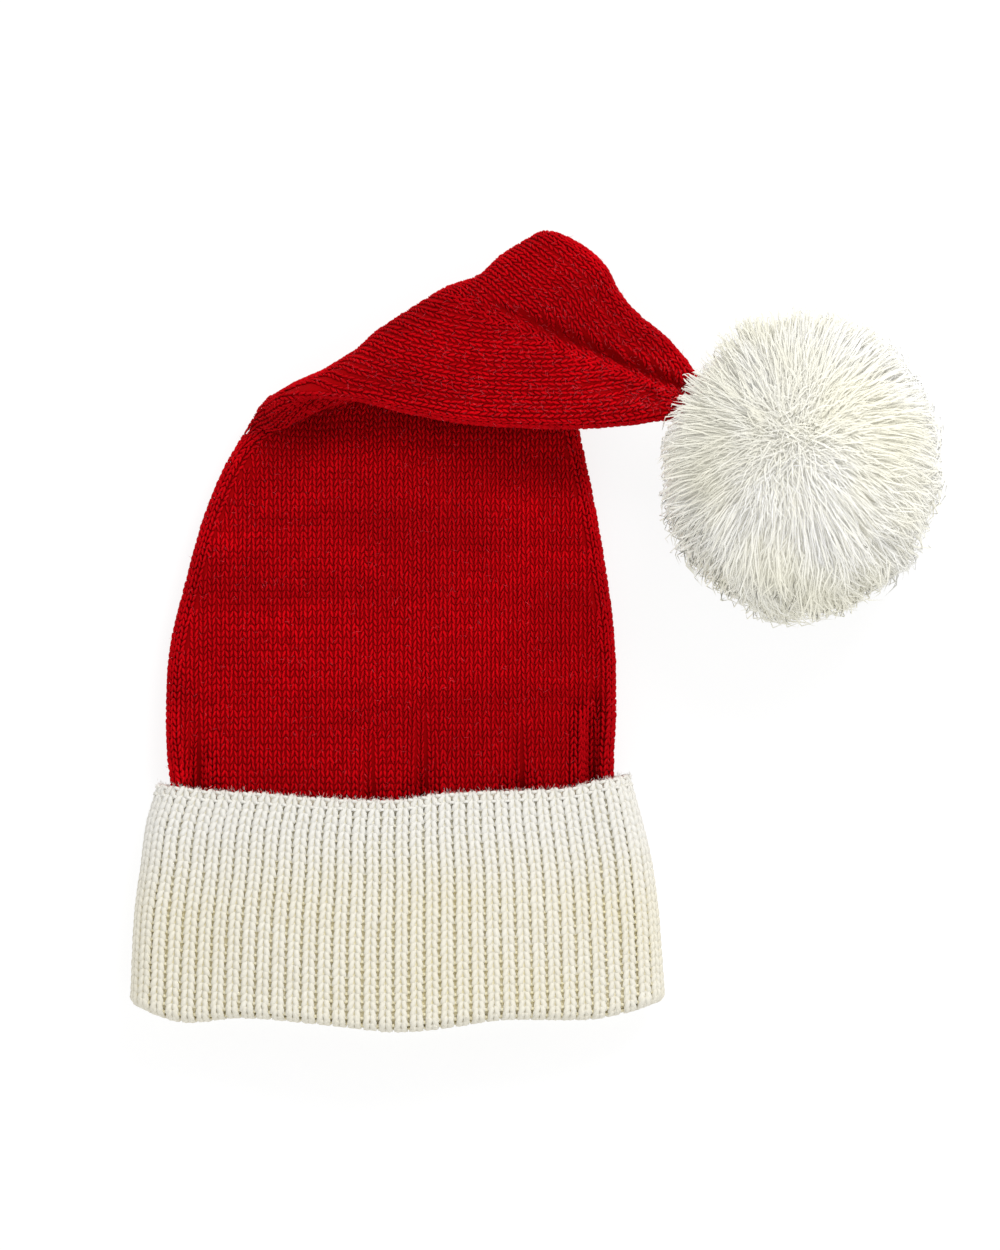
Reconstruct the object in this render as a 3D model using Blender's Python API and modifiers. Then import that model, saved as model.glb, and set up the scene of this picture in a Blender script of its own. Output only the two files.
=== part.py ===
"""Knitted Santa hat lying flat: a long red stocking crown, a white rib cuff, a white pompom.

Blender 4.5 script, metres, +Z up. The hat lies on the surface z = 0 with its mouth towards -Y.
The origin is on the crown's flat underside, below the middle of the body. Tables are in millimetres.
"""

import math
import random
from collections import namedtuple

import bmesh
import bpy
from mathutils import Vector

MM = 0.001

# Cloth
CROWN_WALL = 2.6 * MM
CUFF_WALL = 3.0 * MM
CUFF_RIBS = 70
RIB_HEIGHT = 0.7 * MM

# Crown: points round one section, for each panel and each rolled edge
FRONT_STEPS = 25
BACK_STEPS = 14
ROLL_STEPS = 5

# The crown is a flattened tube. Each row is one section across it, from the hem to the tip:
# its two rolled edges in plan, the height of those edges, how far the front and the back panel
# stand from them, the radius of the rolled edges, how far the tube has turned over at the fold
# in degrees, and the rings up to the next row.
Section = namedtuple("Section", "left_x left_y right_x right_y edge_z front back roll turn rings")
CROWN_SECTIONS = (
    Section(-92.6, -68.0, 91.4, -68.0, 15.0, 17.4, 9.6, 8.4, 0, 1),
    Section(-90.0, -56.0, 88.0, -54.0, 15.0, 17.8, 9.6, 8.4, 0, 1),
    Section(-91.2, -43.0, 87.6, -42.0, 13.6, 20.0, 10.8, 8.8, 0, 1),
    Section(-91.8, -28.0, 88.4, -27.0, 12.0, 22.4, 11.4, 9.0, 0, 2),
    Section(-90.4, 0.0, 88.0, 2.0, 11.4, 23.6, 12.0, 9.0, 0, 2),
    Section(-83.8, 28.0, 84.6, 31.0, 11.4, 22.0, 12.0, 9.0, 0, 2),
    Section(-77.2, 52.0, 79.2, 62.0, 11.0, 19.0, 11.4, 9.0, 0, 1),
    Section(-69.6, 71.0, 73.4, 90.0, 10.4, 16.0, 10.8, 8.6, 0, 1),
    Section(-63.0, 83.0, 69.6, 118.0, 10.0, 13.4, 10.4, 8.2, 6, 1),
    Section(-57.4, 89.8, 67.2, 142.0, 13.2, 11.6, 9.2, 7.6, 40, 1),
    Section(-51.6, 92.4, 65.6, 162.0, 25.0, 9.8, 8.2, 7.2, 90, 1),
    Section(-45.0, 96.0, 67.4, 165.2, 37.0, 10.0, 9.0, 7.4, 138, 1),
    Section(-35.0, 99.8, 72.6, 163.2, 41.4, 10.6, 10.2, 7.8, 174, 1),
    Section(-16.0, 99.0, 79.2, 158.8, 42.4, 10.6, 11.6, 7.8, 180, 1),
    Section(4.0, 94.4, 85.2, 152.4, 41.8, 10.0, 12.4, 7.8, 180, 1),
    Section(26.0, 90.2, 90.0, 143.0, 40.8, 9.4, 12.2, 7.8, 180, 1),
    Section(50.0, 88.4, 97.4, 134.2, 40.4, 8.8, 11.0, 7.6, 180, 1),
    Section(74.0, 88.0, 107.4, 126.2, 41.2, 8.2, 9.8, 7.2, 180, 1),
    Section(94.0, 89.4, 115.2, 117.6, 43.0, 7.4, 8.6, 6.8, 180, 1),
    Section(108.4, 91.2, 121.2, 109.4, 45.0, 6.4, 7.2, 5.8, 180, 1),
    Section(118.4, 89.2, 127.6, 103.6, 46.6, 5.2, 5.6, 4.8, 180, 1),
)
# The tip is gathered shut: each ring's step forward and its size, and the last point's step
TIP_RINGS = ((2.2, 0.80), (3.8, 0.45))
TIP_POINT = 4.2

# Folds of the crown, as straight runs in plan: the panel they are in, the two ends, the depth
# at each end (a negative one stands proud) and the half width.
Fold = namedtuple("Fold", "panel x0 y0 x1 y1 depth0 depth1 width")
CROWN_FOLDS = (
    Fold("front", -77.6, -64.0, -80.0, -18.0, 4.6, 0.0, 5.0),
    Fold("front", -10.0, -64.0, -9.6, -32.0, 3.4, 0.0, 5.0),
    Fold("front", 9.6, -64.0, 13.0, -12.0, 5.0, 0.0, 5.5),
    Fold("front", 49.6, -64.0, 48.6, -20.0, 4.8, 0.0, 5.0),
    Fold("front", 79.6, -64.0, 81.2, -8.0, 8.0, 0.0, 4.0),
    Fold("front", 64.0, -44.0, 60.0, 8.0, -2.0, 0.0, 8.0),
    Fold("front", -70.0, 44.0, -56.0, 72.0, 0.0, 2.6, 9.0),
    Fold("front", -56.0, 72.0, -30.0, 92.0, 2.6, 3.4, 9.0),
    Fold("back", -28.0, 115.0, -18.0, 122.0, 2.6, 2.8, 10.0),
    Fold("back", -10.0, 128.0, 0.0, 135.0, 0.8, 0.4, 10.0),
    Fold("back", 32.0, 160.0, 30.0, 141.0, 3.4, 2.6, 7.0),
    Fold("back", 24.0, 142.0, 66.0, 125.0, 0.6, 4.6, 4.5),
    Fold("back", 66.0, 125.0, 100.0, 111.0, 4.6, 5.0, 4.0),
    Fold("back", 100.0, 111.0, 122.0, 101.0, 5.0, 3.0, 3.2),
    Fold("back", 76.0, 107.0, 104.0, 100.0, 1.4, 2.6, 3.0),
)

# Folds fade out towards the rolled edges, and change panels between these turns of the tube
FOLD_FREE_EDGE = 8.0 * MM
FOLDS_CHANGE = (25.0, 80.0)

# The cuff is turned up: an outer leaf, the fold at the mouth, and an inner leaf that carries
# the crown's hem. Fractions run from its upper edge (0) to the mouth (1). Sides and heights
# are those of the outer leaf's face.
CuffRow = namedtuple("CuffRow", "fraction left_x right_x edge_z front")
CUFF_ROWS = (
    CuffRow(0.00, -94.8, 93.4, 15.0, 23.2),
    CuffRow(0.17, -99.2, 97.8, 15.0, 24.0),
    CuffRow(0.36, -101.4, 101.8, 15.0, 25.0),
    CuffRow(0.62, -104.2, 105.0, 15.0, 26.6),
    CuffRow(1.00, -105.6, 107.4, 15.0, 28.6),
)
CUFF_BACK = 14.7 * MM
CUFF_ROLL = 13.6 * MM
CuffEdge = namedtuple("CuffEdge", "across top_y mouth_y")
CUFF_EDGES = (
    CuffEdge(-1.00, -54.4, -142.6),
    CuffEdge(-0.92, -55.4, -146.4),
    CuffEdge(-0.82, -56.4, -148.6),
    CuffEdge(-0.60, -57.4, -146.6),
    CuffEdge(-0.30, -59.4, -149.0),
    CuffEdge(0.00, -60.2, -152.0),
    CuffEdge(0.22, -57.6, -150.0),
    CuffEdge(0.40, -56.8, -147.4),
    CuffEdge(0.75, -55.6, -147.2),
    CuffEdge(0.90, -52.6, -144.6),
    CuffEdge(1.00, -50.4, -141.0),
)
CUFF_OUTLINE_STEPS = (80, 80, 16)

# Both leaves' faces stand this far from the line between them. The rings of the outer leaf and
# of the inner one are at these fractions, and those of the fold at these angles.
LEAF_SPREAD = 4.15 * MM
OUTER_LEAF_STOPS = (0.0, 0.25, 0.6)
MOUTH_FOLD_STOPS = (0, 90, 180)
INNER_LEAF_STOP = 0.6
HEM_FRACTION = 0.14
INNER_LEAF_TOP = -69.2 * MM

# The pompom: a ball of cut yarn. Its head is this share of the full radii, and its locks reach
# the rest of the way, with this much difference in length and lean. The tail's tip sits in it.
POMPOM_CENTRE = Vector((163.4, 73.4, 50.0)) * MM
POMPOM_RADII = Vector((54.5, 58.5, 49.5)) * MM
HEAD_SHARE = 0.79
LOCK_TIP_SCALE = 0.50
LOCK_LEAN = 0.028
LOCK_LENGTH_SPREAD = 0.06
TAIL_SEAT_CLEARANCE = 0.45 * MM
TAIL_END_ROWS = 5
TAIL_SEAT_HALF_ANGLE = math.radians(15)
SEED = 25


def remove_everything():
    for found in list(bpy.data.objects):
        bpy.data.objects.remove(found, do_unlink=True)


def make_collection(name):
    collection = bpy.data.collections.new(name)
    bpy.context.scene.collection.children.link(collection)
    return collection


def make_material(name, colour, roughness):
    material = bpy.data.materials.new(name)
    material.use_nodes = True
    shader = material.node_tree.nodes["Principled BSDF"]
    shader.inputs["Base Color"].default_value = (*colour, 1.0)
    shader.inputs["Roughness"].default_value = roughness
    shader.inputs["Metallic"].default_value = 0.0
    return material


def make_object(name, mesh_data, collection, material=None):
    mesh = bpy.data.meshes.new(name)
    mesh_data.to_mesh(mesh)
    mesh_data.free()
    made = bpy.data.objects.new(name, mesh)
    collection.objects.link(made)
    if material:
        mesh.materials.append(material)
    return made


def solidify(made, thickness):
    shell = made.modifiers.new("wall", "SOLIDIFY")
    shell.thickness = thickness
    shell.offset = -1.0
    shell.use_even_offset = False
    shell.use_rim = True


def smoothstep(value):
    value = min(max(value, 0.0), 1.0)
    return value * value * (3.0 - 2.0 * value)


def interpolate(keys, values, at):
    """Smooth curve through the values at uneven keys."""
    at = min(max(at, keys[0]), keys[-1])
    last = len(keys) - 1
    low = 0
    while low < last - 1 and keys[low + 1] < at:
        low += 1

    def slope(index):
        before = max(index - 1, 0)
        after = min(index + 1, last)
        return (values[after] - values[before]) / (keys[after] - keys[before])

    span = keys[low + 1] - keys[low]
    f = (at - keys[low]) / span
    start = (1 + 2 * f) * (1 - f) ** 2 * values[low] + f * (1 - f) ** 2 * span * slope(low)
    end = f * f * (3 - 2 * f) * values[low + 1] - f * f * (1 - f) * span * slope(low + 1)
    return start + end


def flattened_tube(half_width, front, back, roll, front_steps, back_steps, roll_steps):
    """Closed profile of a flattened tube as (across, up, panel) points, from the left edge
    over the front panel. Each panel is domed between two round edges."""
    flat = half_width - roll

    def dome(across):
        return (1.0 - abs(across) ** 2.5) ** 1.5

    points = []
    for step in range(front_steps):
        across = -1.0 + 2.0 * step / front_steps
        points.append((across * flat, roll + (front - roll) * dome(across), "front"))
    for step in range(roll_steps):
        angle = math.pi * (0.5 - step / roll_steps)
        points.append((flat + roll * math.cos(angle), roll * math.sin(angle), "edge"))
    for step in range(back_steps):
        across = 1.0 - 2.0 * step / back_steps
        points.append((across * flat, -roll - (back - roll) * dome(across), "back"))
    for step in range(roll_steps):
        angle = math.pi * (-0.5 - step / roll_steps)
        points.append((-flat + roll * math.cos(angle), roll * math.sin(angle), "edge"))
    return points


def section_keys(sections):
    """Distance of each section's middle along the tube."""
    keys = [0.0]
    for before, after in zip(sections, sections[1:]):
        run = math.dist(
            (before.left_x + before.right_x, before.left_y + before.right_y, 2 * before.edge_z),
            (after.left_x + after.right_x, after.left_y + after.right_y, 2 * after.edge_z),
        )
        keys.append(keys[-1] + run / 2)
    return keys


def section_at(sections, keys, at):
    return Section(*(interpolate(keys, [row[column] for row in sections], at)
                     for column in range(len(Section._fields))))


def section_frame(section):
    """Middle, half width, across direction and back direction of a section."""
    left = Vector((section.left_x, section.left_y, section.edge_z)) * MM
    right = Vector((section.right_x, section.right_y, section.edge_z)) * MM
    across = (right - left).normalized()
    turn = math.radians(section.turn)
    outward = Vector((0, 0, 1)).cross(across)
    back = outward * math.sin(turn) - Vector((0, 0, 1)) * math.cos(turn)
    return (left + right) / 2, (right - left).length / 2, across, back


def fold_depth(point, panel, turn):
    """Sum of the folds that cross this point of a panel, in plan. The front panel has its folds
    before the tube turns over, and the back panel after."""
    turned = smoothstep((turn - FOLDS_CHANGE[0]) / (FOLDS_CHANGE[1] - FOLDS_CHANGE[0]))
    shown = turned if panel == "back" else 1.0 - turned
    depth = 0.0
    for fold in CROWN_FOLDS:
        if fold.panel != panel:
            continue
        start = Vector((fold.x0, fold.y0)) * MM
        run = Vector((fold.x1, fold.y1)) * MM - start
        place = Vector((point.x, point.y)) - start
        along = min(max(place.dot(run) / run.length_squared, 0.0), 1.0)
        distance = (place - run * along).length / (fold.width * MM)
        depth += (fold.depth0 + (fold.depth1 - fold.depth0) * along) * MM * math.exp(-distance ** 2)
    return depth * shown


def crown_ring(section, grow=0.0):
    middle, half_width, across, back = section_frame(section)
    profile = flattened_tube(
        half_width + grow, section.front * MM + grow, section.back * MM + grow,
        section.roll * MM + grow, FRONT_STEPS, BACK_STEPS, ROLL_STEPS)
    ring = []
    for sideways, up, panel in profile:
        point = middle + across * sideways - back * up
        if not grow:
            facing = math.copysign(1.0, up)
            inset = smoothstep((half_width - abs(sideways)) / FOLD_FREE_EDGE)
            depth = fold_depth(point, "front" if facing > 0 else "back", section.turn)
            point += back * facing * inset * depth
        point.z = max(point.z, 0.0)
        ring.append(point)
    return ring


def loft(mesh_data, rings):
    """Quads between neighbouring closed rings. Returns the rings' vertices."""
    layers = [[mesh_data.verts.new(point) for point in ring] for ring in rings]
    for lower, upper in zip(layers, layers[1:]):
        for index in range(len(lower)):
            following = (index + 1) % len(lower)
            mesh_data.faces.new((lower[index], lower[following], upper[following], upper[index]))
    return layers


def close_with_fan(mesh_data, ring, centre):
    hub = mesh_data.verts.new(centre)
    for index, vertex in enumerate(ring):
        mesh_data.faces.new((vertex, ring[(index + 1) % len(ring)], hub))


def tip_rings(ring, direction):
    """Ever smaller rings that close the gathered tip, and the point in their middle."""
    centre = sum(ring, Vector()) / len(ring)
    rings = []
    for forward, scale in TIP_RINGS:
        hub = centre + direction * forward * MM
        rings.append([hub + (point - centre) * scale for point in ring])
    return rings, centre + direction * TIP_POINT * MM


def tail_direction(sections):
    return (section_frame(sections[-1])[0] - section_frame(sections[-2])[0]).normalized()


def build_crown(collection):
    keys = section_keys(CROWN_SECTIONS)
    rings = []
    for index, row in enumerate(CROWN_SECTIONS[:-1]):
        for step in range(row.rings):
            at = keys[index] + (keys[index + 1] - keys[index]) * step / row.rings
            rings.append(crown_ring(section_at(CROWN_SECTIONS, keys, at)))
    rings.append(crown_ring(CROWN_SECTIONS[-1]))
    closing, tip = tip_rings(rings[-1], tail_direction(CROWN_SECTIONS))
    mesh_data = bmesh.new()
    layers = loft(mesh_data, rings + closing)
    close_with_fan(mesh_data, layers[-1], tip)
    bmesh.ops.recalc_face_normals(mesh_data, faces=mesh_data.faces)
    material = make_material("red_knit", (0.42, 0.006, 0.012), 0.9)
    crown = make_object("crown", mesh_data, collection, material)
    solidify(crown, CROWN_WALL)
    crown.data.shade_smooth()
    return crown


def cuff_outline(fraction):
    """Points between the cuff's two leaves, at equal steps round it, at this fraction of its
    depth: place, outward direction (both as x and z) and share of the half width."""
    keys = [row.fraction for row in CUFF_ROWS]
    left, right, edge_z, front = (
        interpolate(keys, [getattr(row, column) for row in CUFF_ROWS], fraction) * MM
        for column in ("left_x", "right_x", "edge_z", "front"))
    half_width = (right - left) / 2 - LEAF_SPREAD
    fine = flattened_tube(half_width, front - LEAF_SPREAD, CUFF_BACK - LEAF_SPREAD,
                          CUFF_ROLL - LEAF_SPREAD, *CUFF_OUTLINE_STEPS)
    outline = [Vector((across, up)) for across, up, panel in fine]
    outline.append(outline[0])
    lengths = [0.0]
    for before, after in zip(outline, outline[1:]):
        lengths.append(lengths[-1] + (after - before).length)
    count = 2 * CUFF_RIBS
    places = []
    index = 0
    for step in range(count):
        target = lengths[-1] * step / count
        while lengths[index + 1] < target:
            index += 1
        share = (target - lengths[index]) / (lengths[index + 1] - lengths[index])
        places.append(outline[index].lerp(outline[index + 1], share))
    points = []
    for step, place in enumerate(places):
        run = (places[(step + 1) % count] - places[step - 1]).normalized()
        outward = Vector((-run.y, run.x))
        points.append((place + Vector(((left + right) / 2, edge_z)), outward, place.x / half_width))
    return points


def cuff_ring(fraction, offset, towards_mouth=0.0):
    """One ring of the cuff, this far outside the line between its leaves. Every second point
    is a rib's crest, which stands proud on the outer leaf and on the inner one."""
    keys = [edge.across for edge in CUFF_EDGES]
    tops = [edge.top_y for edge in CUFF_EDGES]
    mouths = [edge.mouth_y for edge in CUFF_EDGES]
    ring = []
    for step, (place, outward, across) in enumerate(cuff_outline(fraction)):
        crest = 1 if step % 2 else -1
        flat = place + outward * (offset + RIB_HEIGHT * crest * offset / LEAF_SPREAD)
        top = interpolate(keys, tops, across) * MM
        mouth = interpolate(keys, mouths, across) * MM
        y = top + (mouth - top) * fraction + towards_mouth
        ring.append(Vector((flat.x, y, max(flat.y, 0.0))))
    return ring


def build_cuff(collection):
    """The outer face of the turned-up rib, from the upper edge round the mouth to the hem."""
    rings = [cuff_ring(stop, LEAF_SPREAD) for stop in OUTER_LEAF_STOPS]
    for angle in MOUTH_FOLD_STOPS:
        turned = math.radians(angle)
        rings.append(cuff_ring(1.0, LEAF_SPREAD * math.cos(turned), LEAF_SPREAD * (1 - math.sin(turned))))
    rings.append(cuff_ring(INNER_LEAF_STOP, -LEAF_SPREAD))
    hem = cuff_ring(HEM_FRACTION, -LEAF_SPREAD)
    for point in hem:
        point.y = INNER_LEAF_TOP
    rings.append(hem)
    mesh_data = bmesh.new()
    loft(mesh_data, rings)
    cuff = make_object("cuff", mesh_data, collection, make_material("white_rib", (0.80, 0.77, 0.66), 0.9))
    turn_outwards(cuff)
    solidify(cuff, CUFF_WALL)
    cuff.data.shade_smooth()
    return cuff


def turn_outwards(made):
    """Faces at the top of an open ring point up, away from its hollow."""
    mesh = made.data
    highest = max(mesh.polygons, key=lambda face: face.center.z)
    if highest.normal.z < 0:
        mesh.flip_normals()


def tail_cutter(collection):
    """The end of the tail, grown by the clearance that its seat in the pompom keeps."""
    rings = [crown_ring(row, TAIL_SEAT_CLEARANCE) for row in CROWN_SECTIONS[-TAIL_END_ROWS:]]
    direction = tail_direction(CROWN_SECTIONS)
    closing, tip = tip_rings(rings[-1], direction)
    for ring in closing:
        for point in ring:
            point += direction * TAIL_SEAT_CLEARANCE
    mesh_data = bmesh.new()
    layers = loft(mesh_data, rings + closing)
    close_with_fan(mesh_data, layers[-1], tip + direction * TAIL_SEAT_CLEARANCE)
    close_with_fan(mesh_data, layers[0], sum(rings[0], Vector()) / len(rings[0]))
    bmesh.ops.recalc_face_normals(mesh_data, faces=mesh_data.faces)
    cutter = make_object("tail_seat_cutter", mesh_data, collection)
    cutter.hide_render = True
    cutter.display_type = "WIRE"
    return cutter


def build_pompom(collection, cutter):
    """A ball whose every face is drawn out into a lock of yarn."""
    rng = random.Random(SEED)
    mesh_data = bmesh.new()
    bmesh.ops.create_icosphere(mesh_data, subdivisions=3, radius=1.0)
    to_tail = section_frame(CROWN_SECTIONS[-2])[0] - POMPOM_CENTRE
    to_tail = Vector(to_tail[axis] / POMPOM_RADII[axis] for axis in range(3)).normalized()
    faces = list(mesh_data.faces)
    for vertex in mesh_data.verts:
        vertex.co *= HEAD_SHARE
    lock_faces = [face for face in faces
                  if face.calc_center_median().angle(to_tail) > TAIL_SEAT_HALF_ANGLE]
    drawn = bmesh.ops.extrude_discrete_faces(mesh_data, faces=lock_faces)["faces"]
    for face in drawn:
        centre = face.calc_center_median()
        outward = centre.normalized()
        reach = 1.0 + rng.uniform(-LOCK_LENGTH_SPREAD, LOCK_LENGTH_SPREAD)
        lean = Vector(rng.uniform(-LOCK_LEAN, LOCK_LEAN) for axis in range(3))
        target = (outward + lean).normalized() * reach
        for vertex in face.verts:
            vertex.co = target + (vertex.co - centre) * LOCK_TIP_SCALE
    for vertex in mesh_data.verts:
        vertex.co = Vector(vertex.co[axis] * POMPOM_RADII[axis] for axis in range(3)) + POMPOM_CENTRE
        vertex.co.z = max(vertex.co.z, 0.0)
    bmesh.ops.triangulate(mesh_data, faces=mesh_data.faces)
    bmesh.ops.recalc_face_normals(mesh_data, faces=mesh_data.faces)
    material = make_material("pompom_yarn", (0.82, 0.80, 0.74), 0.85)
    pompom = make_object("pompom", mesh_data, collection, material)
    seat = pompom.modifiers.new("tail_seat", "BOOLEAN")
    seat.operation = "DIFFERENCE"
    seat.solver = "EXACT"
    seat.object = cutter
    return pompom


def main():
    remove_everything()
    hat = make_collection("santa_hat")
    cutters = make_collection("cutters")
    build_crown(hat)
    build_cuff(hat)
    build_pompom(hat, tail_cutter(cutters))


main()
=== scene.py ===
"""Looks of a knitted Santa hat that lies flat, seen from straight above.

Every stitch of the red stockinette crown and of the white rib cuff is a mesh of its own two legs,
laid along the wales of the cloth, over a ground whose darker colour is painted shade.
Metres, +Z up; the tables are in millimetres.
"""

import math
from collections import namedtuple

import bpy
import numpy as np
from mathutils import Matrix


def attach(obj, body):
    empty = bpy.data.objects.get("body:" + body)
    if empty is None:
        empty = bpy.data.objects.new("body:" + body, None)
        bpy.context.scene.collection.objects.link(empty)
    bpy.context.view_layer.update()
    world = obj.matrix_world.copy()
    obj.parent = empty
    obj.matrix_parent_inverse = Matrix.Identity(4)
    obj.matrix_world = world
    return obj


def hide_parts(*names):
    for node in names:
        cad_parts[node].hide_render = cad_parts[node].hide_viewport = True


MM = 0.001

# The crown's sections, from the hem to the tip: two rolled edges in plan, the edges' height, how
# far the front and back panels stand from them, the edges' radius, and the tube's turn in degrees
Section = namedtuple("Section", "left_x left_y right_x right_y edge_z front back roll turn")
CROWN_SECTIONS = tuple(Section(*row) for row in (
    (-92.6, -68.0, 91.4, -68.0, 15.0, 17.4, 9.6, 8.4, 0),
    (-90.0, -56.0, 88.0, -54.0, 15.0, 17.8, 9.6, 8.4, 0),
    (-91.2, -43.0, 87.6, -42.0, 13.6, 20.0, 10.8, 8.8, 0),
    (-91.8, -28.0, 88.4, -27.0, 12.0, 22.4, 11.4, 9.0, 0),
    (-90.4, 0.0, 88.0, 2.0, 11.4, 23.6, 12.0, 9.0, 0),
    (-83.8, 28.0, 84.6, 31.0, 11.4, 22.0, 12.0, 9.0, 0),
    (-77.2, 52.0, 79.2, 62.0, 11.0, 19.0, 11.4, 9.0, 0),
    (-69.6, 71.0, 73.4, 90.0, 10.4, 16.0, 10.8, 8.6, 0),
    (-63.0, 83.0, 69.6, 118.0, 10.0, 13.4, 10.4, 8.2, 6),
    (-57.4, 89.8, 67.2, 142.0, 13.2, 11.6, 9.2, 7.6, 40),
    (-51.6, 92.4, 65.6, 162.0, 25.0, 9.8, 8.2, 7.2, 90),
    (-45.0, 96.0, 67.4, 165.2, 37.0, 10.0, 9.0, 7.4, 138),
    (-35.0, 99.8, 72.6, 163.2, 41.4, 10.6, 10.2, 7.8, 174),
    (-16.0, 99.0, 79.2, 158.8, 42.4, 10.6, 11.6, 7.8, 180),
    (4.0, 94.4, 85.2, 152.4, 41.8, 10.0, 12.4, 7.8, 180),
    (26.0, 90.2, 90.0, 143.0, 40.8, 9.4, 12.2, 7.8, 180),
    (50.0, 88.4, 97.4, 134.2, 40.4, 8.8, 11.0, 7.6, 180),
    (74.0, 88.0, 107.4, 126.2, 41.2, 8.2, 9.8, 7.2, 180),
    (94.0, 89.4, 115.2, 117.6, 43.0, 7.4, 8.6, 6.8, 180),
    (108.4, 91.2, 121.2, 109.4, 45.0, 6.4, 7.2, 5.8, 180),
    (118.4, 89.2, 127.6, 103.6, 46.6, 5.2, 5.6, 4.8, 180),
))
# Folds of the crown in plan: the panel, the two ends, the depth at each end and the half width
Fold = namedtuple("Fold", "panel x0 y0 x1 y1 depth0 depth1 width")
CROWN_FOLDS = (
    Fold("front", -77.6, -64.0, -80.0, -18.0, 4.6, 0.0, 5.0),
    Fold("front", -10.0, -64.0, -9.6, -32.0, 3.4, 0.0, 5.0),
    Fold("front", 9.6, -64.0, 13.0, -12.0, 5.0, 0.0, 5.5),
    Fold("front", 49.6, -64.0, 48.6, -20.0, 4.8, 0.0, 5.0),
    Fold("front", 79.6, -64.0, 81.2, -8.0, 8.0, 0.0, 4.0),
    Fold("front", 64.0, -44.0, 60.0, 8.0, -2.0, 0.0, 8.0),
    Fold("front", -70.0, 44.0, -56.0, 72.0, 0.0, 2.6, 9.0),
    Fold("front", -56.0, 72.0, -30.0, 92.0, 2.6, 3.4, 9.0),
    Fold("back", -28.0, 115.0, -18.0, 122.0, 2.6, 2.8, 10.0),
    Fold("back", -10.0, 128.0, 0.0, 135.0, 0.8, 0.4, 10.0),
    Fold("back", 32.0, 160.0, 30.0, 141.0, 3.4, 2.6, 7.0),
    Fold("back", 24.0, 142.0, 66.0, 125.0, 0.6, 4.6, 4.5),
    Fold("back", 66.0, 125.0, 100.0, 111.0, 4.6, 5.0, 4.0),
    Fold("back", 100.0, 111.0, 122.0, 101.0, 5.0, 3.0, 3.2),
    Fold("back", 76.0, 107.0, 104.0, 100.0, 1.4, 2.6, 3.0),
)
# Sharp creases along the bottoms of the folds
CREASES = (
    Fold("front", -80.6, -66.0, -79.4, -44.0, 5.0, 3.2, 3.0),
    Fold("front", -79.4, -44.0, -82.0, -20.0, 3.2, 0.0, 3.0),
    Fold("front", -10.4, -66.0, -9.0, -34.0, 3.4, 0.0, 2.8),
    Fold("front", 10.4, -66.0, 12.6, -16.0, 3.6, 0.0, 3.0),
    Fold("front", 49.8, -66.0, 51.4, -30.0, 4.4, 0.0, 2.8),
    Fold("front", 56.0, -66.0, 60.0, -30.0, -2.0, 0.0, 5.0),
    Fold("front", 78.4, -66.0, 78.8, -30.0, 5.5, 5.0, 2.6),
    Fold("front", 78.8, -30.0, 82.0, -8.0, 5.0, 0.0, 2.8),
    Fold("back", 36.0, 139.0, 62.0, 127.4, 0.4, 2.6, 1.9),
    Fold("back", 62.0, 127.4, 94.0, 113.6, 2.6, 3.0, 1.7),
    Fold("back", 94.0, 113.6, 122.0, 101.2, 3.0, 2.0, 1.6),
    Fold("back", 82.0, 109.0, 102.0, 103.6, 0.8, 1.6, 1.5),
)
FOLD_FREE_EDGE = 8.0
FOLDS_CHANGE = (25.0, 80.0)
TIP_RINGS = ((2.2, 0.80), (3.8, 0.45), (4.2, 0.02))

# The cuff: rows from its upper edge (0) to the mouth (1), its edges in plan, and its thickness
CuffRow = namedtuple("CuffRow", "fraction left_x right_x edge_z front")
CUFF_ROWS = (
    CuffRow(0.00, -94.8, 93.4, 15.0, 23.2),
    CuffRow(0.17, -99.2, 97.8, 15.0, 24.0),
    CuffRow(0.36, -101.4, 101.8, 15.0, 25.0),
    CuffRow(0.62, -104.2, 105.0, 15.0, 26.6),
    CuffRow(1.00, -105.6, 107.4, 15.0, 28.6),
)
CUFF_BACK = 14.7
CUFF_ROLL = 13.6
CuffEdge = namedtuple("CuffEdge", "across top_y mouth_y")
CUFF_EDGES = tuple(CuffEdge(*row) for row in (
    (-1.00, -54.4, -142.6),
    (-0.92, -55.4, -146.4),
    (-0.82, -56.4, -148.6),
    (-0.60, -57.4, -146.6),
    (-0.30, -59.4, -149.0),
    (0.00, -60.2, -152.0),
    (0.22, -57.6, -150.0),
    (0.40, -56.8, -147.4),
    (0.75, -55.6, -147.2),
    (0.90, -52.6, -144.6),
    (1.00, -50.4, -141.0),
))
CUFF_RIBS = 74
RIB_HEIGHT = 0.7
LEAF_SPREAD = 4.15
HEM_FRACTION = 0.14
# Rings of the cuff's cloth whose grooves are closed at its upper edge, and how far they are filled
EDGE_RINGS = 8.0
EDGE_FILL = 1.4
INNER_LEAF_TOP = -69.2

# The pompom, and the place on its top from which the strands part
POMPOM_CENTRE = np.array((163.4, 73.4, 50.0))
POMPOM_RADII = np.array((54.5, 58.5, 49.5))
WHORL = np.array((157.2, 86.0))

# Gauge of the cloth: width of a wale and height of a course
RED_WALE = 3.5
RED_COURSE = 2.66
RIB_COURSE = 3.2

# Wales beside each rolled edge, how far they stand out, and the edge's radius along the tail
EDGE_WALES = 3
EDGE_LIFT = 0.3
EDGE_RADIUS = 7.6
TAIL_WALES = 29
TAIL_OVERLAP = 0.8

# Gaps, in wales, that get extra wales, and how many they get at most
WIDEST_GAP = 1.4
WIDEST_EDGE_GAP = 1.9
MOST_BETWEEN = 3

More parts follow.
